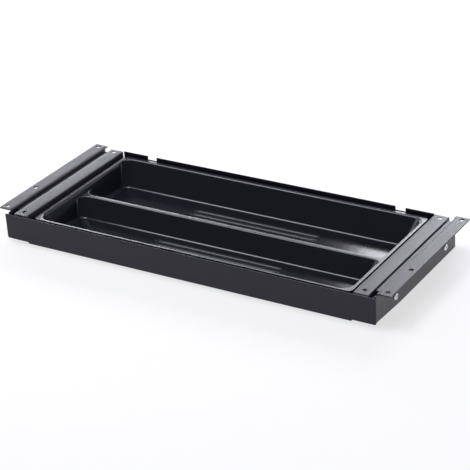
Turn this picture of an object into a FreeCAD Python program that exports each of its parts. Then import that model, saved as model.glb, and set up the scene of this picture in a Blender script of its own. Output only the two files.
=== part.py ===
import FreeCAD, Part
import math
import os

# Shallow under desk drawer: a folded steel drawer on two ball runners, hung from
# two screw-on side brackets, with a formed plastic pen tray dropped into it.
#
# Frame: +X to the right, +Y to the back, +Z up. The origin is the centre of the four
# corner screw holes, in the plane where the bracket flanges meet the desk top.
# The drawer is shut. All lengths are in millimetres.

V = FreeCAD.Vector

# ---- driving dimensions: brackets ----
overall_width = 600.0          # over both flanges
screw_spacing_x = 584.0        # desk screw holes, left to right
screw_spacing_y = 216.0        # desk screw holes, front to back
middle_screw_y = -44.0
desk_screw_hole_d = 7.0
bracket_sheet = 2.0
bracket_bend = 0.6             # inside radius of the fold
flange_width = 20.0
flange_front_y = -116.5
flange_back_y = 115.5
web_front_y = -121.0           # the web reaches further forward than the flange
web_back_y = 109.0
ear_gap = 1.0                  # slit between the web and the flat ear behind it
web_bottom_z = -42.0
web_taper_rise = 3.2           # the lower front corner of the web slopes up
web_taper_end_y = -55.0

# ---- driving dimensions: folded steel drawer ----
sheet = 1.2
sheet_bend = 0.3
front_y = -125.8               # front face of the front panel
front_panel_half = 284.0
front_panel_top_z = -2.9
front_panel_bottom_z = -39.4
front_corner_r = 2.5
body_half = 249.0
body_bottom_z = -42.0
back_y = 114.2                 # back face of the back wall
back_wall_half = 249.5
back_wall_low_z = -36.0        # the wider part of the back wall starts here
back_wall_top_z = -2.0
notch_inner_x = 192.5
notch_outer_x = 207.5
notch_bottom_z = -7.4

channel_inner_x = 250.4        # face of the inner leg, towards the tray
channel_outer_x = 272.2        # face of the outer leg, towards the runner
channel_top_z = -2.2
channel_front_y = -121.8
channel_back_y = 112.5
channel_leg_bottom_z = -38.5
channel_foot = 12.5
channel_hole_d = 6.0
channel_hole_x = 262.0
channel_hole_front_y = -111.0
channel_hole_back_y = 105.0

# ---- driving dimensions: runners ----
runner_height = 36.0
runner_middle_z = -22.4
rail_sheet = 1.2
rail_bend = 0.8
outer_rail_depth = 7.2
outer_rail_front_y = -103.0
outer_rail_back_y = 106.0
inner_rail_front_y = -118.0
inner_rail_back_y = 99.4
inner_rail_start = 4.2         # from the web to the free edge of the inner rail
runner_depth = 7.8             # from the web to the outer leg of the side channel
drawer_travel = 150.0
ball_r = 1.6
ball_sink = 0.45               # how deep a ball sits in the face of a rail
ball_clearance = 0.1
ball_depth = 5.1               # from the web to the row of balls
balls_per_row = 7
ball_row_margin = 4.5          # from the end of the cage to the first ball
cage_sheet = 0.6
cage_length = 44.0
cage_start = 3.1
cage_end = 6.6
stop_tab = 1.6
stop_tab_half_height = 5.0
inner_stop_length = 5.0
inner_stop_proud = 1.2         # how far the catch stands out of the inner rail
buffer_depth = 6.6
buffer_margin = 4.0
end_gap = 0.5                  # running gap at the ends of the runner parts

# ---- driving dimensions: fasteners ----
runner_screw_r = 2.5
runner_screw_head_r = 4.6
runner_screw_head_h = 2.3
runner_screw_head_round = 1.5
recess_length = 4.2
recess_width = 0.9
recess_depth = 1.3
runner_screw_z = -27.5
runner_screw_ys = [-69.0, 77.0]
collar_r = 4.0
collar_length = 1.2
rivet_r = 2.0
rivet_head_r = 3.7
rivet_head_h = 1.1
rivet_ys = [-84.0, 66.0]
fit_gap = 0.05

# ---- driving dimensions: pen tray ----
tray_sheet = 1.5
tray_rim_z = -6.9
tray_rim_half = 244.4
tray_rim_front_y = -114.8
tray_rim_back_y = 109.6
tray_rim_corner_r = 7.0
tray_open_half = 239.5
tray_open_front_y = -111.3
tray_open_back_y = 103.7
tray_open_corner_r = 15.0
tray_floor_z = -39.0
tray_floor_corner_r = 11.0
side_slope = 0.374             # horizontal run per unit of depth, end walls
long_slope = 0.872             # the same for the long walls and the divider
divider_y = -9.0
divider_top_z = -15.2
divider_top_width = 6.0
floor_fillet = 8.0
rib_r = 2.5
rib_height = 1.2
rib_pitch = 11.0
rib_left_x = -88.0
rib_right_x = 105.0
rear_rib_y = 42.0
front_rib_y = -59.0

# ---- worked out from the above ----
flange_outer_x = overall_width / 2
web_inner_x = flange_outer_x - flange_width
web_outer_x = web_inner_x + bracket_sheet
rail_half = runner_height / 2
ball_row_z = rail_half - rail_sheet + ball_sink - ball_r
inner_rail_half = ball_row_z - ball_r + ball_sink
cage_front_y = outer_rail_front_y + stop_tab + end_gap + drawer_travel / 2


# ---- small helpers ----
def box(x0, x1, y0, y1, z0, z1):
    return Part.makeBox(x1 - x0, y1 - y0, z1 - z0, V(x0, y0, z0))


def rod(radius, start, end):
    direction = end.sub(start)
    return Part.makeCylinder(radius, direction.Length, start, direction)


def mirrored(shape):
    """The same piece for the left side."""
    return shape.mirror(V(0, 0, 0), V(1, 0, 0))


def folded_outline(path, thickness, bend):
    """Closed outline of a folded sheet.

    path holds the corner points of its middle line and bend is the inside radius of
    each fold. Each straight run is cut back by the tangent length of its folds, and
    both faces are joined by arcs about the centre of the fold.
    """
    middle_r = bend + thickness / 2
    runs = [b.sub(a) for a, b in zip(path[:-1], path[1:])]
    headings = [V(run).normalize() for run in runs]
    starts = list(path[:-1])
    ends = list(path[1:])
    centres = []
    for i in range(len(runs) - 1):
        turn = headings[i].getAngle(headings[i + 1])
        back = middle_r * math.tan(turn / 2)
        ends[i] = path[i + 1].sub(headings[i] * back)
        starts[i + 1] = path[i + 1].add(headings[i + 1] * back)
        inward = headings[i + 1].sub(headings[i]).normalize()
        centres.append(path[i + 1].add(inward * (middle_r / math.cos(turn / 2))))
    normal = headings[0].cross(headings[1]).normalize()

    def face_edges(side):
        edges = []
        previous = None
        for i, heading in enumerate(headings):
            shift = normal.cross(heading) * (side * thickness / 2)
            a = starts[i].add(shift)
            b = ends[i].add(shift)
            if previous is not None:
                centre = centres[i - 1]
                radius = a.distanceToPoint(centre)
                outward = path[i].sub(centre).normalize()
                middle = centre.add(outward * radius)
                edges.append(Part.Arc(previous, middle, a).toShape())
            edges.append(Part.LineSegment(a, b).toShape())
            previous = b
        return edges

    first = face_edges(1)
    second = face_edges(-1)
    caps = []
    for place in (0, -1):
        a = first[place].Vertexes[place].Point
        b = second[place].Vertexes[place].Point
        caps.append(Part.LineSegment(a, b).toShape())
    return Part.Wire(Part.__sortEdges__(first + second + caps))


def folded_sheet(path, thickness, bend, run):
    """Solid of a folded sheet: its outline carried along the vector run."""
    return Part.Face(folded_outline(path, thickness, bend)).extrude(run)


def rounded_rectangle(half, front, back, corner_r, z):
    """Wire of a rectangle with round corners, centred on X = 0, at height z."""
    k = corner_r * (1 - math.sqrt(0.5))
    points = [
        (V(half - corner_r, front, z), V(half - k, front + k, z), V(half, front + corner_r, z)),
        (V(half, back - corner_r, z), V(half - k, back - k, z), V(half - corner_r, back, z)),
        (V(-half + corner_r, back, z), V(-half + k, back - k, z), V(-half, back - corner_r, z)),
        (V(-half, front + corner_r, z), V(-half + k, front + k, z), V(-half + corner_r, front, z)),
    ]
    edges = []
    for i, (start, middle, end) in enumerate(points):
        edges.append(Part.Arc(start, middle, end).toShape())
        following = points[(i + 1) % 4][0]
        edges.append(Part.LineSegment(end, following).toShape())
    return Part.Wire(edges)


def tapered_block(half, front, back, corner_r, top_z, low_half, low_front, low_back, low_r, low_z):
    """Solid between two round-cornered rectangles at different heights."""
    upper = rounded_rectangle(half, front, back, corner_r, top_z)
    lower = rounded_rectangle(low_half, low_front, low_back, low_r, low_z)
    return Part.makeLoft([upper, lower], True, True)


# ---- brackets ----
def bracket():
    """Right-hand angle: flange against the desk, web hanging from its inner edge."""
    half_sheet = bracket_sheet / 2
    path = [
        V(flange_outer_x, flange_front_y, -half_sheet),
        V(web_inner_x + half_sheet, flange_front_y, -half_sheet),
        V(web_inner_x + half_sheet, flange_front_y, web_bottom_z),
    ]
    length = flange_back_y - flange_front_y
    angle = folded_sheet(path, bracket_sheet, bracket_bend, V(0, length, 0))
    # at the front the web alone reaches on, from just under the fold
    fold_low_z = -bracket_sheet - bracket_bend
    angle = angle.fuse(box(web_inner_x, web_outer_x, web_front_y, flange_front_y + 1,
                           web_bottom_z, fold_low_z))
    # at the back the web stops short and the flange goes on as a flat ear
    angle = angle.cut(box(web_inner_x - 1, web_outer_x + bracket_bend, web_back_y,
                          flange_back_y + 1, web_bottom_z - 1, 1))
    ear = box(web_inner_x, web_outer_x + bracket_bend, web_back_y + ear_gap, flange_back_y,
              -bracket_sheet, 0)
    angle = angle.fuse(ear).removeSplitter()
    # the lower front corner of the web slopes up
    low = web_bottom_z
    corner = Part.Face(Part.makePolygon([
        V(web_inner_x - 1, web_front_y - 1, low - 1),
        V(web_inner_x - 1, web_front_y - 1, low + web_taper_rise),
        V(web_inner_x - 1, web_taper_end_y, low),
        V(web_inner_x - 1, web_taper_end_y, low - 1),
        V(web_inner_x - 1, web_front_y - 1, low - 1),
    ])).extrude(V(bracket_sheet + 2, 0, 0))
    angle = angle.cut(corner)
    for y in (-screw_spacing_y / 2, middle_screw_y, screw_spacing_y / 2):
        x = screw_spacing_x / 2
        angle = angle.cut(rod(desk_screw_hole_d / 2, V(x, y, -bracket_sheet - 1), V(x, y, 1)))
    for y in runner_screw_ys:
        hole = rod(runner_screw_r + fit_gap, V(web_inner_x - 1, y, runner_screw_z),
                   V(web_outer_x + 1, y, runner_screw_z))
        angle = angle.cut(hole)
    return angle


def runner_screw(y):
    """Pan head screw through the web into the collar of the outer rail."""
    seat = V(web_outer_x, y, runner_screw_z)
    head = rod(runner_screw_head_r, seat, seat.add(V(runner_screw_head_h, 0, 0)))
    rim_edge = [e for e in head.Edges if abs(e.BoundBox.XMin - seat.x - runner_screw_head_h) < 0.01
                and e.BoundBox.XLength < 0.01]
    head = head.makeFillet(runner_screw_head_round, rim_edge)
    tip = web_inner_x - rail_sheet - collar_length - 0.1
    shank = rod(runner_screw_r, seat.add(V(0.1, 0, 0)), V(tip, y, runner_screw_z))
    screw = head.fuse(shank)
    top = seat.x + runner_screw_head_h
    for length, width in ((recess_length, recess_width), (recess_width, recess_length)):
        slot = box(top - recess_depth, top + 1, y - length / 2, y + length / 2,
                   runner_screw_z - width / 2, runner_screw_z + width / 2)
        screw = screw.cut(slot)
    return screw.removeSplitter()


def bracket_screws():
    return Part.makeCompound([runner_screw(y) for y in runner_screw_ys])


# ---- runners, right-hand side ----
def rail_point(depth, height, y):
    """A point of the runner: depth from the web, height above its middle line."""
    return V(web_inner_x - depth, y, runner_middle_z + height)


def ball_groove(side, start_y, end_y):
    height = side * ball_row_z
    return rod(ball_r + ball_clearance, rail_point(ball_depth, height, start_y),
               rail_point(ball_depth, height, end_y))


def outer_rail():
    """C-shaped rail screwed to the web, open towards the drawer."""
    y0 = outer_rail_front_y
    middle = rail_sheet / 2
    path = [
        rail_point(outer_rail_depth, rail_half - middle, y0),
        rail_point(middle, rail_half - middle, y0),
        rail_point(middle, -rail_half + middle, y0),
        rail_point(outer_rail_depth, -rail_half + middle, y0),
    ]
    length = outer_rail_back_y - outer_rail_front_y
    rail = folded_sheet(path, rail_sheet, rail_bend, V(0, length, 0))
    for side in (1, -1):
        rail = rail.cut(ball_groove(side, y0 - 1, outer_rail_back_y + 1))
    # stop tab for the ball cage at the front
    x1 = web_inner_x - middle
    tab = box(web_inner_x - inner_rail_start, x1, y0, y0 + stop_tab,
              runner_middle_z - stop_tab_half_height, runner_middle_z + stop_tab_half_height)
    rail = rail.fuse(tab)
    for y in runner_screw_ys:
        start = V(web_inner_x - middle, y, runner_screw_z)
        end = V(web_inner_x - rail_sheet - collar_length, y, runner_screw_z)
        rail = rail.fuse(rod(collar_r, start, end))
    for y in runner_screw_ys:
        rail = rail.cut(rod(runner_screw_r + fit_gap, V(web_inner_x + 1, y, runner_screw_z),
                            V(web_inner_x - 6, y, runner_screw_z)))
    return rail.removeSplitter()


def inner_rail():
    """C-shaped rail riveted to the side channel, inside the outer rail."""
    y0 = inner_rail_front_y
    middle = rail_sheet / 2
    top = inner_rail_half - middle
    path = [
        rail_point(inner_rail_start, top, y0),
        rail_point(runner_depth - middle, top, y0),
        rail_point(runner_depth - middle, -top, y0),
        rail_point(inner_rail_start, -top, y0),
    ]
    length = inner_rail_back_y - inner_rail_front_y
    rail = folded_sheet(path, rail_sheet, rail_bend, V(0, length, 0))
    for side in (1, -1):
        rail = rail.cut(ball_groove(side, y0 - 1, inner_rail_back_y + 1))
    for y in rivet_ys:
        rail = rail.cut(rod(rivet_r + fit_gap, rail_point(runner_depth + 2, 0, y),
                            rail_point(inner_rail_start, 0, y)))
    return rail.removeSplitter()


def inner_rail_stop():
    """Plastic catch in the back end of the inner rail, which meets the ball cage."""
    half = inner_rail_half - rail_sheet - 0.3
    back = inner_rail_back_y
    block = box(web_inner_x - runner_depth + rail_sheet, web_inner_x - inner_rail_start + inner_stop_proud,
                back - inner_stop_length, back, runner_middle_z - half, runner_middle_z + half)
    upright = [e for e in block.Edges if abs(e.BoundBox.XLength - block.BoundBox.XLength) < 0.01]
    return block.makeFillet(1.5, upright)


def ball_cage():
    """Thin U-shaped strip that spaces the balls of both rows."""
    middle = cage_sheet / 2
    path = [
        rail_point(cage_end, ball_row_z, cage_front_y),
        rail_point(cage_start + middle, ball_row_z, cage_front_y),
        rail_point(cage_start + middle, -ball_row_z, cage_front_y),
        rail_point(cage_end, -ball_row_z, cage_front_y),
    ]
    cage = folded_sheet(path, cage_sheet, 0.5, V(0, cage_length, 0))
    for centre in ball_centres():
        cage = cage.cut(rod(ball_r + fit_gap, centre.sub(V(0, 0, 1.0)), centre.add(V(0, 0, 1.0))))
    return cage


def ball_centres():
    pitch = (cage_length - 2 * ball_row_margin) / (balls_per_row - 1)
    centres = []
    for side in (1, -1):
        for i in range(balls_per_row):
            y = cage_front_y + ball_row_margin + i * pitch
            centres.append(rail_point(ball_depth, side * ball_row_z, y))
    return centres


def cage_balls():
    return Part.makeCompound([Part.makeSphere(ball_r, centre) for centre in ball_centres()])


def end_buffer():
    """Rubber block between the flanges of the outer rail, at its back end."""
    start = inner_rail_back_y + end_gap
    half = rail_half - rail_sheet - buffer_margin
    block = box(web_inner_x - buffer_depth, web_inner_x - rail_sheet, start,
                outer_rail_back_y - end_gap,
                runner_middle_z - half, runner_middle_z + half)
    upright = [e for e in block.Edges if abs(e.BoundBox.XLength - block.BoundBox.XLength) < 0.01]
    return block.makeFillet(1.8, upright)


def rail_rivets():
    """Rivets through the inner rail and the outer leg of the side channel."""
    rivets = []
    for y in rivet_ys:
        face = rail_point(runner_depth - rail_sheet, 0, y)
        head = rod(rivet_head_r, face, face.add(V(rivet_head_h, 0, 0)))
        outer = [e for e in head.Edges if abs(e.BoundBox.XMin - face.x - rivet_head_h) < 0.01
                 and e.BoundBox.XLength < 0.01]
        head = head.makeFillet(0.8, outer)
        tail = rail_point(runner_depth + sheet, 0, y)
        shank = rod(rivet_r, face.add(V(0.5, 0, 0)), tail.sub(V(0.5, 0, 0)))
        upset = rod(rivet_head_r - 0.6, tail, tail.sub(V(1.2, 0, 0)))
        rivets.append(head.fuse(shank).fuse(upset).removeSplitter())
    return Part.makeCompound(rivets)


# ---- drawer ----
def side_channel():
    """Folded channel along the side of the drawer, right-hand."""
    middle = sheet / 2
    y0 = channel_front_y
    foot_z = body_bottom_z + sheet + middle
    path = [
        V(channel_inner_x - channel_foot, y0, foot_z),
        V(channel_inner_x + middle, y0, foot_z),
        V(channel_inner_x + middle, y0, channel_top_z - middle),
        V(channel_outer_x - middle, y0, channel_top_z - middle),
        V(channel_outer_x - middle, y0, channel_leg_bottom_z),
    ]
    length = channel_back_y - channel_front_y
    channel = folded_sheet(path, sheet, sheet_bend, V(0, length, 0))
    for y in (channel_hole_front_y, channel_hole_back_y):
        channel = channel.cut(rod(channel_hole_d / 2, V(channel_hole_x, y, channel_top_z - 4),
                                  V(channel_hole_x, y, channel_top_z + 1)))
    for y in rivet_ys:
        channel = channel.cut(rod(rivet_r + fit_gap, rail_point(runner_depth - 1, 0, y),
                                  rail_point(runner_depth + 4, 0, y)))
    return channel


def drawer_body():
    """Front panel, bottom and back wall folded from one sheet."""
    middle = sheet / 2
    path = [
        V(-body_half, front_y + middle, front_panel_top_z),
        V(-body_half, front_y + middle, body_bottom_z + middle),
        V(-body_half, back_y - middle, body_bottom_z + middle),
        V(-body_half, back_y - middle, back_wall_top_z),
    ]
    body = folded_sheet(path, sheet, sheet_bend, V(2 * body_half, 0, 0))
    panel = box(-front_panel_half, front_panel_half, front_y, front_y + sheet,
                front_panel_bottom_z, front_panel_top_z)
    low_corners = [e for e in panel.Edges if abs(e.BoundBox.YLength - sheet) < 0.01
                   and abs(e.BoundBox.ZMax - front_panel_bottom_z) < 0.01]
    panel = panel.makeFillet(front_corner_r, low_corners)
    body = body.fuse(panel).removeSplitter()
    # the back wall is a little wider than the bottom, from just above the fold
    body = body.fuse(box(-back_wall_half, back_wall_half, back_y - sheet, back_y,
                         back_wall_low_z, back_wall_top_z)).removeSplitter()
    # a notch near each end of its top edge
    for side in (-1, 1):
        notch = sorted((side * notch_inner_x, side * notch_outer_x))
        body = body.cut(box(notch[0], notch[1], back_y - 4, back_y + 1,
                            notch_bottom_z, back_wall_top_z + 1))
    return body


# ---- pen tray ----
def tray_well(grow, deeper):
    """The tray's hollow as a solid: an upper part across both compartments, and the
    two compartments below it. grow moves every wall outwards and deeper lowers the
    floor, so the same function gives the outside of the formed sheet."""
    upper_depth = tray_rim_z - divider_top_z
    lower_depth = divider_top_z - tray_floor_z
    side_step = upper_depth * side_slope
    long_step = upper_depth * long_slope
    half = tray_open_half + grow
    front = tray_open_front_y - grow
    back = tray_open_back_y + grow
    corner_r = tray_open_corner_r + grow
    knee_half = half - side_step
    knee_front = front + long_step
    knee_back = back - long_step
    upper = tapered_block(half, front, back, corner_r, tray_rim_z,
                          knee_half, knee_front, knee_back, corner_r - 1, divider_top_z)
    if deeper:
        # sheet under the top of the divider and under its flared ends
        shelf_half = knee_half - deeper * side_slope
        upper = upper.fuse(box(-shelf_half, shelf_half, divider_y - corner_r, divider_y + corner_r,
                               divider_top_z - deeper, divider_top_z))
    low_half = knee_half - lower_depth * side_slope
    low_step = lower_depth * long_slope
    low_r = tray_floor_corner_r + grow
    divider_half = divider_top_width / 2 - grow
    well = upper
    for start, end in ((divider_y + divider_half, knee_back), (knee_front, divider_y - divider_half)):
        compartment = tapered_block(knee_half, start, end, corner_r - 1, divider_top_z,
                                    low_half, start + low_step, end - low_step, low_r,
                                    tray_floor_z - deeper)
        floor_edges = [e for e in compartment.Edges
                       if e.BoundBox.ZMax < tray_floor_z - deeper + 0.01]
        compartment = compartment.makeFillet(floor_fillet, floor_edges)
        well = well.fuse(compartment)
    return well.removeSplitter()


def floor_rib(y):
    """Low round ridge along the floor."""
    centre_z = tray_floor_z - rib_r + rib_height
    left = V(rib_left_x, y, centre_z)
    right = V(rib_right_x, y, centre_z)
    ridge = rod(rib_r, left, right)
    for end in (left, right):
        ridge = ridge.fuse(Part.makeSphere(rib_r, end))
    keep = box(rib_left_x - 5, rib_right_x + 5, y - 5, y + 5, tray_floor_z - 0.7, tray_floor_z + 5)
    return ridge.common(keep)


def pen_tray():
    """Formed plastic insert: flat rim, two long compartments and ribs on the floor."""
    rim = Part.Face(rounded_rectangle(tray_rim_half, tray_rim_front_y, tray_rim_back_y,
                                      tray_rim_corner_r, tray_rim_z - tray_sheet))
    tray = rim.extrude(V(0, 0, tray_sheet))
    outside_grow = tray_sheet * math.sqrt(1 + long_slope ** 2)
    tray = tray.fuse(tray_well(outside_grow, tray_sheet))
    tray = tray.cut(tray_well(0.0, 0.0))
    for middle_y in (rear_rib_y, front_rib_y):
        for step in (-1, 0, 1):
            tray = tray.fuse(floor_rib(middle_y + step * rib_pitch))
    return tray.removeSplitter()


# ---- write every node ----
def main():
    os.makedirs("parts", exist_ok=True)
    right_hand = {
        "bracket": bracket(),
        "bracket_screws": bracket_screws(),
        "outer_rail": outer_rail(),
        "end_buffer": end_buffer(),
        "ball_cage": ball_cage(),
        "cage_balls": cage_balls(),
        "inner_rail": inner_rail(),
        "inner_rail_stop": inner_rail_stop(),
        "rail_rivets": rail_rivets(),
        "side_channel": side_channel(),
    }
    nodes = {"drawer_body": drawer_body(), "pen_tray": pen_tray()}
    for name, shape in right_hand.items():
        nodes[name + "_right"] = shape
        nodes[name + "_left"] = mirrored(shape)
    for name, shape in nodes.items():
        shape.exportStep("parts/" + name + ".step")
        print(name, len(shape.Solids), "solids", round(shape.Volume, 1), "mm3", shape.isValid())


main()
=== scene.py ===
import math
import bmesh
import bpy
import numpy as np
from mathutils import Matrix, Vector


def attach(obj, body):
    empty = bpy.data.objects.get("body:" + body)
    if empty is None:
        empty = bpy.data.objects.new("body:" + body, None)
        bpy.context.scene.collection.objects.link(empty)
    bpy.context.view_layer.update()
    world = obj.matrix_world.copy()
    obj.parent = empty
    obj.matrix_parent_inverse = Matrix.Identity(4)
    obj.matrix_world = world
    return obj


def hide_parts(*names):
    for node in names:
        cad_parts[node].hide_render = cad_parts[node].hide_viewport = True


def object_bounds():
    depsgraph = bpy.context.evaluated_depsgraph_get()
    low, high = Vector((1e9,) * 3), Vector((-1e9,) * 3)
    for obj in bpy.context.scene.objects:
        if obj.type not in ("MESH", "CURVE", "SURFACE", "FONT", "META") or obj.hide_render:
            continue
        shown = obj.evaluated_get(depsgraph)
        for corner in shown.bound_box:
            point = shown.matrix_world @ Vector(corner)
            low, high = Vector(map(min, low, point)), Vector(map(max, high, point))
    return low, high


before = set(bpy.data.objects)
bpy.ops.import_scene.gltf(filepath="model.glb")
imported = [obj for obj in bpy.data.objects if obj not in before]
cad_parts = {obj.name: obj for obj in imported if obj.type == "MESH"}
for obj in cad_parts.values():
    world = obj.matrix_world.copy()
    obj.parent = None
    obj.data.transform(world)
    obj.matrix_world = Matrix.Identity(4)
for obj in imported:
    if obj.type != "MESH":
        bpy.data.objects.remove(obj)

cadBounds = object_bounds()
mm = 0.001
near = 0.01         # grid lines within this many millimetres of a place are the line there
weldReach = 2e-6    # points within this many metres of each other become one


# A Wire is one output socket. Sums and products of Wires and numbers add Math nodes.
class Wire:
    def __init__(self, finish, socket):
        self.finish = finish
        self.socket = socket

    def maths(self, operation, first, second):
        return self.finish.node("ShaderNodeMath", {"operation": operation}, {0: first, 1: second})

    def __add__(self, other):
        return self.maths("ADD", self, other)

    def __radd__(self, other):
        return self.maths("ADD", other, self)

    def __mul__(self, other):
        return self.maths("MULTIPLY", self, other)

    def __rmul__(self, other):
        return self.maths("MULTIPLY", other, self)


# A Finish is one material being built; node() adds any node and returns its output.
class Finish:
    def __init__(self, name):
        self.material = bpy.data.materials.new(name)
        self.material.use_nodes = True
        self.tree = self.material.node_tree
        self.tree.nodes.clear()
        self.place = self.node("ShaderNodeTexCoord", out="Object")

    def node(self, kind, settings=None, sockets=None, out=0):
        made = self.tree.nodes.new(kind)
        for key, value in (settings or {}).items():
            if key == "stops":
                for element, (position, shade) in zip(made.color_ramp.elements, value):
                    element.position = position
                    element.color = (shade, shade, shade, 1.0)
            else:
                setattr(made, key, value)
        for key, value in (sockets or {}).items():
            if isinstance(value, Wire):
                self.tree.links.new(value.socket, made.inputs[key])
            else:
                made.inputs[key].default_value = value
        return Wire(self, made.outputs[out])

    # the object's own coordinates, stretched per axis for drawn or rolled marks
    def stretched(self, x, y, z):
        return self.node("ShaderNodeMapping", None, {"Vector": self.place, "Scale": (x, y, z)})

    # cloudy noise, with about so many marks to the metre as scale says
    def grain(self, scale, detail=2.0, rough=0.5, place=None):
        return self.node("ShaderNodeTexNoise", None, {
            "Vector": place or self.place, "Scale": scale, "Detail": detail, "Roughness": rough})

    # distance to the nearest of many scattered points: round dimples
    def cells(self, scale):
        return self.node("ShaderNodeTexVoronoi", {"feature": "F1"},
                         {"Vector": self.place, "Scale": scale}, "Distance")

    # a soft step: 0 below low, 1 above high
    def step(self, value, low, high):
        return self.node("ShaderNodeValToRGB", {"stops": [(low, 0.0), (high, 1.0)]}, {"Fac": value})

    # from the first colour to the second as the mask goes from 0 to 1
    def colours(self, mask, first, second):
        sockets = {0: mask, 6: (*first, 1.0), 7: (*second, 1.0)}
        return self.node("ShaderNodeMix", {"data_type": "RGBA"}, sockets, 2)

    # one coordinate of a vector
    def part(self, vector, axis):
        return self.node("ShaderNodeSeparateXYZ", None, {"Vector": vector}, axis)

    # 0 below edge and 1 above it, over a width
    def above(self, value, edge, width):
        sockets = {"Value": value, "From Min": edge - width / 2, "From Max": edge + width / 2}
        return self.node("ShaderNodeMapRange", {"clamp": True}, sockets)

    # a height of so many metres as a tilt of the surface, over another bump if there is one
    def bump(self, height, distance, strength=1.0, under=None):
        sockets = {"Height": height, "Distance": distance, "Strength": strength}
        if under is not None:
            sockets["Normal"] = under
        return self.node("ShaderNodeBump", None, sockets)

    # the surface shader and the material's output
    def close(self, **sockets):
        named = {key.replace("_", " "): value for key, value in sockets.items()}
        shader = self.node("ShaderNodeBsdfPrincipled", None, named)
        output = self.tree.nodes.new("ShaderNodeOutputMaterial")
        self.tree.links.new(shader.socket, output.inputs["Surface"])
        return self.material


# colours, roughness and shine of each powder-coated part. The drawer shell, brackets and channels
# wear one anthracite coat, and their three entries are lit and shaded copies of it: the channels'
# lighter tone is painted light, and the darker tone of the drawer and the brackets is painted
# shade.
paint = {
    "drawer": {"dark": (0.0115, 0.0118, 0.0200), "light": (0.0190, 0.0194, 0.0310),
               "rough": 0.40, "specular": 0.30},
    "bracket": {"dark": (0.0110, 0.0112, 0.0155), "light": (0.0190, 0.0192, 0.0255),
                "rough": 0.40, "specular": 0.70},
    "channel": {"dark": (0.0200, 0.0200, 0.0265), "light": (0.0330, 0.0330, 0.0420),
                "rough": 0.40, "specular": 0.75},
    "rail": {"dark": (0.0140, 0.0140, 0.0180), "light": (0.0240, 0.0240, 0.0300),
             "rough": 0.36, "specular": 0.50},
}


# baked powder coat: fine pebbles under a soft orange peel, with a slightly uneven sheen
def powderCoat(name, look):
    finish = Finish(name)
    pebbles = finish.cells(1500.0)
    peel = finish.grain(260.0, 3.0, 0.55)
    drift = finish.grain(14.0, 2.0, 0.5)
    specks = finish.step(finish.grain(2600.0, 1.0, 0.5), 0.40, 0.72)
    tone = finish.colours(specks * 0.55 + drift * 0.45, look["dark"], look["light"])
    sheen = look["rough"] - 0.05 + drift * 0.06 + peel * 0.06
    fine = finish.bump(pebbles, 0.00010, 0.55)
    normal = finish.bump(peel, 0.00022, 0.5, fine)
    return finish.close(Base_Color=tone, Roughness=sheen, Normal=normal,
                        Specular_IOR_Level=look["specular"])


plastic = {"dark": (0.0080, 0.0086, 0.0135), "light": (0.0130, 0.0138, 0.0205), "specular": 0.30,
           "gloss": 0.11, "satin": 0.36, "satinAbove": -0.0172, "sheen": 0.36}


# formed plastic: the flats of the rim and of the divider's top are satin, the wells are
# glossy; faint waviness from the mould, a fine skin and a few hairline scuffs
def formedPlastic(name, look):
    finish = Finish(name)
    swirl = finish.grain(9.0, 3.0, 0.55)
    waves = finish.grain(38.0, 2.0, 0.45)
    skin = finish.grain(1900.0, 2.0, 0.6)
    strokes = finish.grain(1.0, 2.0, 0.6, finish.stretched(22.0, 900.0, 500.0))
    scuffs = finish.step(strokes, 0.62, 0.74)
    height = finish.part(finish.place, "Z")
    upward = finish.part(finish.node("ShaderNodeNewGeometry", None, None, "Normal"), "Z")
    high = finish.above(height, look["satinAbove"], 0.0012)
    flat = high * finish.above(upward, 0.80, 0.20)
    tone = finish.colours(swirl, look["dark"], look["light"])
    sheen = look["gloss"] + swirl * 0.03 + scuffs * 0.04 + flat * (look["satin"] - look["gloss"])
    soft = finish.bump(waves, 0.00030, 0.30)
    normal = finish.bump(skin, 0.000012, 0.5, soft)
    return finish.close(Base_Color=tone, Roughness=sheen, Normal=normal, Coat_Weight=flat,
                        Coat_Roughness=look["sheen"], Specular_IOR_Level=look["specular"])


# plated steel, drawn along the runner: long faint lines, cloudy bright zinc
def drawnZinc(name, light, dark, rough):
    finish = Finish(name)
    lines = finish.grain(1.0, 4.0, 0.65, finish.stretched(2600.0, 30.0, 2600.0))
    clouds = finish.grain(70.0, 3.0, 0.6)
    tone = finish.colours(clouds * 0.6 + lines * 0.4, dark, light)
    sheen = rough + clouds * 0.10 + lines * 0.12
    normal = finish.bump(lines, 0.00003, 0.5)
    return finish.close(Base_Color=tone, Metallic=1.0, Roughness=sheen, Normal=normal)


# zinc on turned or pressed parts: cloudy plating with tiny dents
def brightZinc(name, light, dark, rough):
    finish = Finish(name)
    clouds = finish.grain(320.0, 3.0, 0.6)
    dents = finish.cells(900.0)
    tone = finish.colours(clouds, dark, light)
    sheen = rough + clouds * 0.14
    normal = finish.bump(dents, 0.00002, 0.4)
    return finish.close(Base_Color=tone, Metallic=1.0, Roughness=sheen, Normal=normal)


# moulded rubber or nylon: matt, with a fine bloom
def mouldedSoft(name, dark, light, rough):
    finish = Finish(name)
    bloom = finish.grain(240.0, 3.0, 0.6)
    pores = finish.grain(2200.0, 2.0, 0.6)
    tone = finish.colours(bloom, dark, light)
    sheen = rough + bloom * 0.12
    normal = finish.bump(pores, 0.00005, 0.5)
    return finish.close(Base_Color=tone, Roughness=sheen, Normal=normal)


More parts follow.
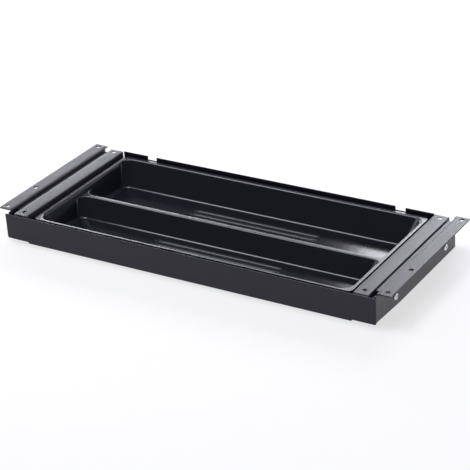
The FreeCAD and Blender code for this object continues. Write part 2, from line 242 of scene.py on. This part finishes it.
finishes = {
    # the drawer, bracket and channel finishes are lit and shaded copies of one coat: painted light
    # on the channels, painted shade on the drawer and the brackets
    "drawer_paint": powderCoat("drawer paint", paint["drawer"]),
    "bracket_paint": powderCoat("bracket paint", paint["bracket"]),
    "channel_paint": powderCoat("channel paint", paint["channel"]),
    "tray_plastic": formedPlastic("tray plastic", plastic),
    "screw_zinc": brightZinc("screw zinc", (0.80, 0.81, 0.83), (0.62, 0.64, 0.68), 0.20),
    "rail_black": powderCoat("rail coat", paint["rail"]),
    "cage_zinc": drawnZinc("cage zinc", (0.62, 0.61, 0.57), (0.46, 0.45, 0.42), 0.30),
    "ball_steel": brightZinc("ball steel", (0.82, 0.82, 0.83), (0.74, 0.74, 0.76), 0.08),
    "rivet_zinc": brightZinc("rivet zinc", (0.68, 0.69, 0.71), (0.50, 0.52, 0.55), 0.28),
    "buffer_rubber": mouldedSoft("buffer rubber", (0.010, 0.010, 0.011),
                                 (0.022, 0.022, 0.023), 0.62),
    "stop_plastic": mouldedSoft("stop plastic", (0.020, 0.021, 0.023), (0.034, 0.035, 0.038), 0.42),
}
print("finishes made:", len(finishes))


# quads between neighbouring rows and columns of a grid of vertices; wrap joins the last
# column to the first, and flip turns the faces over
def gridFaces(rows, columns, start=0, wrap=False, flip=False):
    index = start + np.arange(rows * columns).reshape(rows, columns)
    following = np.roll(index, -1, axis=1) if wrap else index[:, 1:]
    here = index if wrap else index[:, :-1]
    quads = np.stack([here[:-1], following[:-1], following[1:], here[1:]], axis=-1).reshape(-1, 4)
    return quads[:, ::-1] if flip else quads


# One piece from points and faces: points at the same place are welded, mirror turns X
# round for the left hand, and the piece stands for the nodes it is given.
def newPiece(name, points, faces, finish, body, nodes, mirror=False):
    points = np.asarray(points, float)
    if mirror:
        points = points * np.array([-1.0, 1.0, 1.0])
        faces = faces[:, ::-1]
    mesh = bpy.data.meshes.new(name)
    mesh.from_pydata(points.tolist(), [], faces.tolist())
    work = bmesh.new()
    work.from_mesh(mesh)
    bmesh.ops.remove_doubles(work, verts=work.verts, dist=weldReach)
    bmesh.ops.dissolve_degenerate(work, edges=work.edges, dist=1e-7)
    loose = [v for v in work.verts if not v.link_faces]
    bmesh.ops.delete(work, geom=loose, context="VERTS")
    work.to_mesh(mesh)
    work.free()
    mesh.shade_smooth()
    piece = bpy.data.objects.new(name, mesh)
    bpy.context.scene.collection.objects.link(piece)
    mesh.materials.append(finishes[finish])
    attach(piece, body)
    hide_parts(*nodes)
    return piece


def thicken(piece, thickness, offset):
    wall = piece.modifiers.new("wall", "SOLIDIFY")
    wall.thickness = thickness
    wall.offset = offset
    wall.use_even_offset = True
    wall.use_quality_normals = True


def softenEdges(piece, width, segments=2, angle=40.0):
    edge = piece.modifiers.new("edges", "BEVEL")
    edge.width = width
    edge.segments = segments
    edge.limit_method = "ANGLE"
    edge.angle_limit = math.radians(angle)
    edge.harden_normals = True
    edge.use_clamp_overlap = True


# A folded middle line: corner points joined by straight runs, each corner rounded by an
# arc. Returns the length along the line and the two coordinates at every knot.
def foldLine(corners, radius, steps=6):
    corners = np.asarray(corners, float)
    runs = np.diff(corners, axis=0)
    headings = runs / np.linalg.norm(runs, axis=1)[:, None]
    knots = [corners[:1]]
    for corner, before, after in zip(corners[1:-1], headings[:-1], headings[1:]):
        turn = math.acos(float(np.clip(before @ after, -1, 1)))
        back = radius * math.tan(turn / 2)
        inward = (after - before) / np.linalg.norm(after - before)
        centre = corner + inward * radius / math.cos(turn / 2)
        first = corner - before * back - centre
        last = corner + after * back - centre
        angles = np.linspace(0.0, 1.0, steps + 1)[:, None] * turn
        arc = (first * np.sin(turn - angles) + last * np.sin(angles)) / math.sin(turn)
        knots.append(centre + arc)
    knots.append(corners[-1:])
    knots = np.concatenate(knots)
    lengths = np.concatenate([[0.0], np.cumsum(np.linalg.norm(np.diff(knots, axis=0), axis=1))])
    return lengths, knots[:, 0], knots[:, 1]


# A folded plate in its flat pattern: a grid of lines across (s, along the fold line) and
# lengthways (t), with a round hole as a square patch whose rings run from the grid lines
# to the circle. keep(s, t) says which cells are sheet.
def flatPattern(sLines, tLines, holes, keep, ringSteps=3, cellsPerSide=6):
    sLines = list(sLines)
    tLines = list(tLines)
    for s, t, radius, reach in holes:
        spread = np.linspace(-reach, reach, cellsPerSide + 1)
        sLines += list(s + spread)
        tLines += list(t + spread)
    sLines = np.unique(np.round(sLines, 7))
    tLines = np.unique(np.round(tLines, 7))
    sGrid, tGrid = np.meshgrid(sLines, tLines, indexing="ij")
    quads = gridFaces(len(sLines), len(tLines), flip=True)
    middles = np.stack([sGrid.ravel()[quads].mean(1), tGrid.ravel()[quads].mean(1)], axis=1)
    kept = keep(middles[:, 0], middles[:, 1])
    points = [np.stack([sGrid.ravel(), tGrid.ravel()], axis=1)]
    faces = []
    total = sGrid.size
    for s, t, radius, reach in holes:
        inside = (abs(middles[:, 0] - s) < reach) & (abs(middles[:, 1] - t) < reach)
        kept &= ~inside
        i0, i1 = (int(np.argmin(abs(sLines - value))) for value in (s - reach, s + reach))
        j0, j1 = (int(np.argmin(abs(tLines - value))) for value in (t - reach, t + reach))
        iRun = np.arange(i0, i1)
        jRun = np.arange(j0, j1)
        iLoop = np.concatenate([iRun, np.full(len(jRun), i1),
                                iRun[::-1] + 1, np.full(len(jRun), i0)])
        jLoop = np.concatenate([np.full(len(iRun), j0), jRun,
                                np.full(len(iRun), j1), jRun[::-1] + 1])
        edge = np.stack([sLines[iLoop], tLines[jLoop]], axis=1)
        offset = edge - np.array([s, t])
        circle = np.array([s, t]) + radius * offset / np.linalg.norm(offset, axis=1)[:, None]
        share = np.linspace(0.0, 1.0, ringSteps + 1)[:, None, None]
        rings = edge[None] * (1 - share) + circle[None] * share
        points.append(rings.reshape(-1, 2))
        faces.append(gridFaces(ringSteps + 1, len(edge), total, wrap=True))
        total += rings.shape[0] * rings.shape[1]
    faces.insert(0, quads[kept])
    return np.concatenate(points), np.concatenate(faces)


print("mesh tools ready")


bracket = {
    "outer": 300.0, "inner": 280.0, "sheet": 2.0, "bend": 1.6,
    "front": -116.5, "back": 115.5, "webFront": -121.0, "webBack": 109.0, "earGap": 1.0,
    "webLow": -42.0, "taperRise": 3.2, "taperEnd": -55.0,
    "holeX": 292.0, "holeYs": (-108.0, -44.0, 108.0), "holeR": 3.5,
    "screwYs": (-69.0, 77.0), "screwZ": -27.5, "screwR": 2.55,
    "holePatch": 5.6, "screwPatch": 4.4, "taperLines": 9, "softEdge": 0.35,
}

# a left-hand part is the right-hand one with X turned round
hands = (("right", False), ("left", True))


# A flat pattern folded to an L: s runs over the flange and down the web, t runs along Y.
# X and Z are looked up at s on the folded line, and the ear behind the web stays flat.
def makeBracket(side, mirror):
    b = bracket
    half = b["sheet"] / 2
    webX = b["inner"] + half
    lengths, xs, zs = foldLine([(b["outer"], -half), (webX, -half), (webX, b["webLow"])], b["bend"])
    flatEnd = lengths[1]
    holes = [(b["outer"] - b["holeX"], y, b["holeR"], b["holePatch"]) for y in b["holeYs"]]
    webStart = lengths[-1] + b["webLow"]
    holes += [(webStart - b["screwZ"], y, b["screwR"], b["screwPatch"]) for y in b["screwYs"]]
    tLines = [b["front"], b["webBack"], b["webBack"] + b["earGap"], b["back"]]
    tLines += list(np.linspace(b["webFront"], b["taperEnd"], b["taperLines"]))
    webTop = lengths[-2]
    earStart = b["webBack"] + b["earGap"]

    def keep(s, t):
        front = (t > b["front"]) | (s > webTop)
        return front & ((s < flatEnd) | (t < b["webBack"]) | ((t > earStart) & (s < webTop)))

    flat, faces = flatPattern(lengths, tLines, holes, keep)
    s, t = flat[:, 0], flat[:, 1]
    # the web's lower edge rises towards the front: its lowest line is pulled up
    lift = b["taperRise"] * np.clip((b["taperEnd"] - t) / (b["taperEnd"] - b["webFront"]), 0, 1)
    low = lengths[-1]
    s = np.where(s > low - near, s - lift, s)
    x = np.interp(s, lengths, xs)
    z = np.interp(s, lengths, zs)
    ear = (t > earStart - near) & (s > flatEnd)
    x = np.where(ear, np.maximum(b["outer"] - s, b["inner"]), x)
    z = np.where(ear, -half, z)
    points = np.stack([x, t, z], axis=1) * mm
    piece = newPiece("bracket_plate_" + side, points, faces, "bracket_paint", "brackets",
                     ["bracket_" + side], mirror)
    thicken(piece, b["sheet"] * mm, 0.0)
    softenEdges(piece, b["softEdge"] * mm)


for side, mirror in hands:
    makeBracket(side, mirror)
print("brackets made")


channel = {
    "inner": 250.4, "outer": 272.2, "sheet": 1.2, "bend": 0.9,
    "front": -121.8, "back": 112.5, "top": -2.2, "legLow": -38.5,
    "foot": 12.5, "footZ": -40.2, "holeX": 262.0, "holeYs": (-111.0, 105.0), "holeR": 3.0,
    "holePatch": 4.6, "lengthLines": 13, "softEdge": 0.25,
}


# A flat pattern folded to an upside-down U with a foot, its section constant along Y.
def makeChannel(side, mirror):
    c = channel
    half = c["sheet"] / 2
    corners = [(c["inner"] - c["foot"], c["footZ"]), (c["inner"] + half, c["footZ"]),
               (c["inner"] + half, c["top"] - half), (c["outer"] - half, c["top"] - half),
               (c["outer"] - half, c["legLow"])]
    lengths, xs, zs = foldLine(corners, c["bend"])
    topKnots = np.flatnonzero(zs > c["top"] - half - 1e-6)
    topStart = lengths[topKnots[0]] - xs[topKnots[0]]
    holes = [(topStart + c["holeX"], y, c["holeR"], c["holePatch"]) for y in c["holeYs"]]
    tLines = np.linspace(c["front"], c["back"], c["lengthLines"])
    flat, faces = flatPattern(lengths, tLines, holes, lambda s, t: np.ones(len(s), bool))
    x = np.interp(flat[:, 0], lengths, xs)
    z = np.interp(flat[:, 0], lengths, zs)
    points = np.stack([x, flat[:, 1], z], axis=1) * mm
    piece = newPiece("channel_plate_" + side, points, faces, "channel_paint", "drawer",
                     ["side_channel_" + side], mirror)
    thicken(piece, c["sheet"] * mm, 0.0)
    softenEdges(piece, c["softEdge"] * mm)


for side, mirror in hands:
    makeChannel(side, mirror)
print("side channels made")


shell = {
    "sheet": 1.2, "bend": 0.9, "front": -125.8, "back": 114.2, "bottom": -42.0,
    "panelTop": -2.9, "panelLow": -39.4, "panelHalf": 284.0, "cornerR": 2.5,
    "half": 249.0, "backTop": -2.0, "backHalf": 249.5, "relief": -36.0,
    "notchInner": 192.5, "notchOuter": 207.5, "notchLow": -7.4, "softEdge": 0.28,
    "bottomLines": 8, "cornerLines": 7, "middleLines": (0.0, 64.0, 128.0),
}


# A flat pattern folded to a U: s runs down the panel, back along the bottom and up the rear
# wall, and t runs across. Y and Z are looked up at s on the folded line.
def makeShell():
    d = shell
    half = d["sheet"] / 2
    corners = [(d["front"] + half, d["panelTop"]), (d["front"] + half, d["bottom"] + half),
               (d["back"] - half, d["bottom"] + half), (d["back"] - half, d["backTop"])]
    lengths, ys, zs = foldLine(corners, d["bend"])
    panelEnd = d["panelTop"] - d["panelLow"]
    total = lengths[-1]
    reliefS = total - (d["backTop"] - d["relief"])
    notchS = total - (d["backTop"] - d["notchLow"])
    sLines = list(lengths) + [panelEnd, panelEnd - 2 * d["cornerR"], reliefS, notchS]
    bottomStart, bottomEnd = lengths[7], lengths[8]    # the flat run between the two bends
    sLines += list(np.linspace(bottomStart, bottomEnd, d["bottomLines"]))
    cornerStart = d["panelHalf"] - d["cornerR"]
    edges = [d["notchInner"], d["notchOuter"], d["half"], d["backHalf"]]
    edges += list(np.linspace(cornerStart, d["panelHalf"], d["cornerLines"]))
    edges += d["middleLines"]
    tLines = sorted(set(edges + [-value for value in edges]))

    def keep(s, t):
        across = abs(t)
        body = (across < d["half"]) | (s > reliefS)
        body &= ~((across > d["notchInner"]) & (across < d["notchOuter"]) & (s > notchS))
        return (body & (across < d["backHalf"])) | (s < panelEnd)

    flat, faces = flatPattern(sLines, tLines, [], keep)
    s, t = flat[:, 0], flat[:, 1]
    # lower corners of the panel: the end of its lower edge follows a quarter circle
    reach = np.clip(abs(t) - cornerStart, 0, d["cornerR"])
    rise = d["cornerR"] - np.sqrt(np.maximum(d["cornerR"] ** 2 - reach ** 2, 0))
    s = np.where(abs(s - panelEnd) < near, s - rise, s)
    y = np.interp(s, lengths, ys)
    z = np.interp(s, lengths, zs)
    points = np.stack([t, y, z], axis=1) * mm
    piece = newPiece("drawer_shell", points, faces, "drawer_paint", "drawer", ["drawer_body"])
    thicken(piece, d["sheet"] * mm, 0.0)
    softenEdges(piece, d["softEdge"] * mm)


makeShell()
print("drawer shell made")


tray = {
    "sheet": 1.5, "rimZ": -6.9, "rimHalf": 244.4, "rimFront": -114.8, "rimBack": 109.6, "rimR": 7.0,
    "openHalf": 239.5, "openFront": -111.3, "openBack": 103.7, "openR": 15.0,
    "kneeZ": -15.2, "kneeHalf": 236.4, "kneeFront": -104.06, "kneeBack": 96.46, "kneeR": 14.0,
    "floorZ": -39.0, "floorR": 11.0, "sideSlope": 0.374, "longSlope": 0.872,
    "dividerY": -9.0, "dividerWidth": 6.0, "dividerRound": 1.5,
    "rimRound": 2.2, "floorRound": 8.0,
    "ribR": 3.4, "ribHeight": 1.3, "ribPitch": 11.0, "ribLeft": -88.0, "ribRight": 105.0,
    "rearRib": 42.0, "frontRib": -59.0, "softEdge": 0.5,
    "floorInset": 7.5, "floorMargin": 6.0, "cornerZone": 6.0, "cornerZoneY": 4.0,
    "clearX": (-100.0, -75.0, 92.0, 118.0), "clearLines": (8, 12, 7),
    "wallLines": 7, "floorSteps": 9, "ridgeSteps": 5, "ridgeFade": 1.5, "topLines": 7,
    "rimSteps": 6,
}
cornerSteps = 7
probe = 5.0         # how far inside a loop its fellow lies that shows which way is inward


# Once round a rectangle with round corners, from the middle of the front left corner and
# anticlockwise seen from above. across and back place each sample between the corner
# centres, and angle is its direction from them.
def loopPattern(shareX, shareY, steps):
    eighth = np.linspace(0, math.pi / 4, steps + 1)
    acrossParts, backParts, angleParts = [], [], []
    sides = [(shareX, "x", -3 * math.pi / 4), (shareY, "y", -math.pi / 4),
             (1 - shareX[::-1], "x", math.pi / 4), (1 - shareY[::-1], "y", 3 * math.pi / 4)]
    for number, (share, axis, start) in enumerate(sides):
        along = np.concatenate([np.zeros(steps), share, np.ones(steps)])[:-1]
        angle = np.concatenate([start + eighth[:-1], np.full(len(share), start + math.pi / 4),
                                start + math.pi / 4 + eighth[1:]])[:-1]
        if number >= 2:
            along = 1 - along
        fixed = np.full(len(along), 1.0 if number in (1, 2) else 0.0)
        acrossParts.append(along if axis == "x" else fixed)
        backParts.append(along if axis == "y" else fixed)
        angleParts.append(angle)
    return tuple(np.concatenate(parts) for parts in (acrossParts, backParts, angleParts))


# the loop's points at height z: corner centres lie a radius inside the rectangle, and each
# sample is a radius from its centre in the direction of its angle
def loopPoints(pattern, half, front, back, radius, z):
    across, backward, angle = pattern
    x = -(half - radius) + across * 2 * (half - radius) + radius * np.cos(angle)
    y = front + radius + backward * (back - front - 2 * radius) + radius * np.sin(angle)
    return np.stack([x, y, np.full(len(x), float(z))], axis=1)


# each vector divided by its length
def unit(vectors):
    return vectors / np.maximum(np.linalg.norm(vectors, axis=1), 1e-12)[:, None]


# rows of a round edge: a conic arc from start to end about the sharp corner, whose weight
# is the cosine of half the turn, so that equal tangents give a true circle
def roundRows(start, corner, end, steps):
    before = unit(corner - start)
    after = unit(end - corner)
    cosine = np.clip((before * after).sum(1), -1, 1)
    weight = np.sqrt((1 + cosine) / 2)[None, :, None]
    t = np.linspace(0, 1, steps + 1)[:, None, None]
    first, middle, last = (1 - t) ** 2, 2 * weight * t * (1 - t), t ** 2
    total = first + middle + last
    return (first * start[None] + middle * corner[None] + last * end[None]) / total


# rows on the straight way from start to end, one for each share of it
def lerpRows(start, end, shares):
    shares = np.asarray(shares)[:, None, None]
    return start[None] * (1 - shares) + end[None] * shares


# height of the ribs over the floor: a round bar of radius r about a line below the floor
def ribHeights(x, y, ribYs):
    p = tray
    nearX = np.maximum(np.maximum(p["ribLeft"] - x, x - p["ribRight"]), 0)
    height = np.zeros_like(x)
    for ribY in ribYs:
        away = np.hypot(nearX, y - ribY)
        bar = np.sqrt(np.maximum(p["ribR"] ** 2 - away ** 2, 0)) - (p["ribR"] - p["ribHeight"])
        height = np.maximum(height, bar)
    return height


# Each compartment is loops joined row by row: walls, a round edge and a floor grid raised by
# the ribs. Above them come the divider's top and the wall up to the rim.
def makeTray():
    p = tray
    halfRib = np.array([0.65, 1.3, 1.9, 2.3, 2.6, 2.85, 3.6])
    ribSpread = np.concatenate([-halfRib[::-1], [0.0], halfRib])
    endSpread = np.array([-3.8, -2.9, -2.6, -2.1, -1.5, -0.8, 0.0])
    drop = p["kneeZ"] - p["floorZ"]
    floorHalf = p["kneeHalf"] - drop * p["sideSlope"]
    zone, zoneY = p["cornerZone"], p["cornerZoneY"]
    gridHalf = floorHalf - p["floorInset"]
    # evenly spread lines where there is no end of a rib, and the ends' own lines between
    clearX, lines = p["clearX"], p["clearLines"]
    midX = np.concatenate([np.linspace(-gridHalf + zone, clearX[0], lines[0]),
                           p["ribLeft"] + endSpread,
                           np.linspace(clearX[1], clearX[2], lines[1]),
                           p["ribRight"] - endSpread[::-1],
                           np.linspace(clearX[3], gridHalf - zone, lines[2])])
    shareX = (midX - midX[0]) / (midX[-1] - midX[0])
    early = np.arange(cornerSteps) / cornerSteps
    late = np.arange(1, cornerSteps + 1) / cornerSteps
    half = p["dividerWidth"] / 2
    compartments = {
        "rear": (p["dividerY"] + half, p["kneeBack"], p["rearRib"]),
        "front": (p["kneeFront"], p["dividerY"] - half, p["frontRib"]),
    }
    points, faces = [], []
    count = 0

    def add(rows, wrap=False, flip=False):
        nonlocal count
        points.append(rows.reshape(-1, 3))
        faces.append(gridFaces(rows.shape[0], rows.shape[1], count, wrap, flip))
        count += rows.shape[0] * rows.shape[1]

    shelfEdges, sideYs = {}, {}
    for name, (low, high, ribMiddle) in compartments.items():
        step = drop * p["longSlope"]
        floorFront, floorBack = low + step, high - step
        ribYs = [ribMiddle + n * p["ribPitch"] for n in (-1, 0, 1)]
        gridFront, gridBack = floorFront + p["floorMargin"], floorBack - p["floorMargin"]
        inner = np.concatenate([y + ribSpread for y in ribYs])
        first, last = gridFront + zoneY, gridBack - zoneY
        inner = inner[(inner > first + 0.3) & (inner < last - 0.3)]
        midY = np.concatenate([[first], inner, [last]])
        shareY = (midY - midY[0]) / (midY[-1] - midY[0])
        pattern = loopPattern(shareX, shareY, cornerSteps)
        angle = pattern[2]
        top = loopPoints(pattern, p["kneeHalf"], low, high, p["kneeR"], p["kneeZ"])
        floor = loopPoints(pattern, floorHalf, floorFront, floorBack, p["floorR"], p["floorZ"])
        down = unit(floor - top)
        inwardLoop = loopPoints(pattern, floorHalf - probe, floorFront + probe,
                                floorBack - probe, p["floorR"] - probe, p["floorZ"])
        inward = unit(inwardLoop - floor)
        # how far round the corner towards the divider, 0 at the side wall
        facing = -np.sin(angle) if name == "rear" else np.sin(angle)
        ridge = p["dividerRound"] * np.clip(facing, 0, 1) ** p["ridgeFade"]
        start = top + down * ridge[:, None]
        turn = np.arccos(np.clip((down * inward).sum(1), -1, 1))
        tangent = (p["floorRound"] * np.tan(turn / 2))[:, None]
        wallEnd = floor - down * tangent
        walls = lerpRows(start, wallEnd, np.linspace(0, 1, p["wallLines"]))
        floorEdge = roundRows(wallEnd, floor, floor + inward * tangent, p["floorSteps"])
        gridX = np.concatenate([-gridHalf + zone * early, midX, gridHalf - zone + zone * late])
        gridY = np.concatenate([gridFront + zoneY * early, midY, gridBack - zoneY + zoneY * late])
        gx, gy = np.meshgrid(gridX, gridY, indexing="xy")
        gz = p["floorZ"] + ribHeights(gx, gy, ribYs)
        grid = np.stack([gx, gy, gz], axis=2)
        border = np.concatenate([grid[0, :-1], grid[:-1, -1], grid[-1, :0:-1], grid[:0:-1, 0]])
        flat = lerpRows(floorEdge[-1], border, [1 / 3, 2 / 3, 1.0])
        add(np.concatenate([walls, floorEdge[1:], flat]), wrap=True)
        add(grid)
        # the edge that the divider's top joins, from left to right
        total = len(angle)
        span = cornerSteps * 4 + len(shareX)
        if name == "rear":
            order = (np.arange(span) - cornerSteps) % total
        else:
            order = (3 * cornerSteps + len(shareX) + len(shareY) - 2 + np.arange(span)) % total
            order = order[::-1]
        outward = -inward
        shelfEdges[name] = [start[order], top[order], (top + outward * ridge[:, None])[order]]
        sideYs[name] = low + p["kneeR"] + shareY * (high - low - 2 * p["kneeR"])
    # top of the divider: round over from each wall, flat between
    rear, front = shelfEdges["rear"], shelfEdges["front"]
    flatShares = np.linspace(0, 1, p["topLines"])
    rows = np.concatenate([roundRows(rear[0], rear[1], rear[2], p["ridgeSteps"])[:-1],
                           lerpRows(rear[2], front[2], flatShares),
                           roundRows(front[2], front[1], front[0], p["ridgeSteps"])[1:]])
    add(rows, flip=True)
    # rim, its round edge and the wall down to the level of the divider's top
    gapYs = (sideYs["front"][-1] * (1 - flatShares) + sideYs["rear"][0] * flatShares)[1:-1]
    upperYs = np.concatenate([sideYs["front"], gapYs, sideYs["rear"]])
    shareY = (upperYs - upperYs[0]) / (upperYs[-1] - upperYs[0])
    pattern = loopPattern(shareX, shareY, cornerSteps)
    rim = loopPoints(pattern, p["rimHalf"], p["rimFront"], p["rimBack"], p["rimR"], p["rimZ"])
    edge = loopPoints(pattern, p["openHalf"], p["openFront"], p["openBack"], p["openR"], p["rimZ"])
    knee = loopPoints(pattern, p["kneeHalf"], p["kneeFront"], p["kneeBack"], p["kneeR"], p["kneeZ"])
    inwardLoop = loopPoints(pattern, p["openHalf"] - probe, p["openFront"] + probe,
                            p["openBack"] - probe, p["openR"] - probe, p["rimZ"])
    inward = unit(inwardLoop - edge)
    down = unit(knee - edge)
    rimStart = edge - inward * p["rimRound"]
    roundOver = roundRows(rimStart, edge, edge + down * p["rimRound"], p["rimSteps"])
    add(np.concatenate([lerpRows(rim, rimStart, [0, 0.5]), roundOver,
                        lerpRows(roundOver[-1], knee, [1 / 3, 2 / 3, 1])]), wrap=True)
    piece = newPiece("formed_tray", np.concatenate(points) * mm, np.concatenate(faces),
                     "tray_plastic", "tray", ["pen_tray"])
    thicken(piece, p["sheet"] * mm, -1.0)
    softenEdges(piece, p["softEdge"] * mm, segments=3, angle=55.0)


makeTray()
print("pen tray made")


slotOf = {
    "bracket_screws": "screw_zinc", "outer_rail": "rail_black", "inner_rail": "rail_black",
    "ball_cage": "cage_zinc", "cage_balls": "ball_steel", "end_buffer": "buffer_rubber",
    "inner_rail_stop": "stop_plastic", "rail_rivets": "rivet_zinc",
}
for name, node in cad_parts.items():
    kind = name.rsplit("_", 1)[0]
    if kind in slotOf:
        for index in range(max(1, len(node.material_slots))):
            if len(node.material_slots) <= index:
                node.data.materials.append(None)
            node.material_slots[index].material = finishes[slotOf[kind]]
print("runner parts finished")


studio = {
    "floor": 0.42, "floorGlow": 0.62, "floorReach": 6.0, "floorGap": 0.0004,
    "world": 0.16, "tint": (0.92, 0.925, 1.0), "distance": 2.5,
    # each soft box: compass direction in degrees (0 straight behind, 90 to the left), rise in
    # degrees, width and height in metres, and brightness
    "boxes": {
        "backKey": (8, 26, 1.25, 0.72, 10.2),
        "backLow": (50, 12, 1.6, 0.55, 7.6),
        "leftSide": (95, 32, 1.1, 0.9, 2.6),
        "leftTop": (86, 63, 0.8, 0.8, 12.0),
        "overhead": (0, 86, 1.1, 1.1, 2.0),
        "rightLow": (-50, 12, 1.28, 0.70, 1.6),
        "frontRight": (-140, 30, 1.6, 1.2, 1.6),
    },
}


def softBox(name, compass, rise, width, height, radiance):
    light = bpy.data.lights.new(name, "AREA")
    light.shape = "RECTANGLE"
    light.size, light.size_y = width, height
    light.color = studio["tint"]
    light.energy = radiance * math.pi * width * height
    lamp = bpy.data.objects.new(name, light)
    bpy.context.scene.collection.objects.link(lamp)
    turn, lift = math.radians(compass), math.radians(rise)
    level = math.cos(lift)
    away = Vector((-level * math.sin(turn), level * math.cos(turn), math.sin(lift)))
    lamp.location = away * studio["distance"]
    lamp.rotation_euler = (-away).to_track_quat("-Z", "Y").to_euler()


def makeStudio():
    low = min(point[2] for point in cadBounds) - studio["floorGap"]
    reach = studio["floorReach"]
    mesh = bpy.data.meshes.new("floor")
    ends = (-reach, reach)
    corners = [(x, y, low) for y in ends for x in ends]
    mesh.from_pydata(corners, [], [(0, 1, 3, 2)])
    floor = bpy.data.objects.new("floor", mesh)
    bpy.context.scene.collection.objects.link(floor)
    finish = Finish("floor paper")
    fibres = finish.grain(40.0, 3.0, 0.5)
    shade = studio["floor"]
    tone = finish.colours(fibres, (shade, shade, shade), (shade + 0.02, shade + 0.02, shade + 0.02))
    mesh.materials.append(finish.close(Base_Color=tone, Roughness=0.9, Specular_IOR_Level=0.1,
                                      Emission_Color=(1.0, 1.0, 1.0, 1.0),
                                      Emission_Strength=studio["floorGlow"]))
    world = bpy.data.worlds.new("studio")
    world.use_nodes = True
    world.node_tree.nodes["Background"].inputs["Color"].default_value = (*studio["tint"], 1.0)
    world.node_tree.nodes["Background"].inputs["Strength"].default_value = studio["world"]
    bpy.context.scene.world = world
    for name, place in studio["boxes"].items():
        softBox(name, *place)


# the camera's place in metres, its lens in millimetres and its turns in degrees
view = {"at": (1.13237, -1.75204, 1.02237), "lens": 132.18,
        "yaw": 32.716, "pitch": 26.864, "roll": -3.706}


def makeCamera():
    yaw, pitch, roll = (math.radians(view[key]) for key in ("yaw", "pitch", "roll"))
    right = Vector((math.cos(yaw), math.sin(yaw), 0))
    level = math.cos(pitch)
    forward = Vector((-math.sin(yaw) * level, math.cos(yaw) * level, -math.sin(pitch)))
    up = right.cross(forward)
    imageRight = right * math.cos(roll) + up * math.sin(roll)
    imageUp = up * math.cos(roll) - right * math.sin(roll)
    lens = bpy.data.cameras.new("camera")
    lens.lens = view["lens"]
    lens.sensor_width = 36.0
    lens.clip_start = 0.05
    camera = bpy.data.objects.new("camera", lens)
    bpy.context.scene.collection.objects.link(camera)
    turn = Matrix((imageRight, imageUp, -forward)).transposed()
    camera.matrix_world = Matrix.Translation(view["at"]) @ turn.to_4x4()
    bpy.context.scene.camera = camera


makeStudio()
makeCamera()
bpy.context.scene.view_settings.view_transform = "Standard"
print("floor, light and camera set")
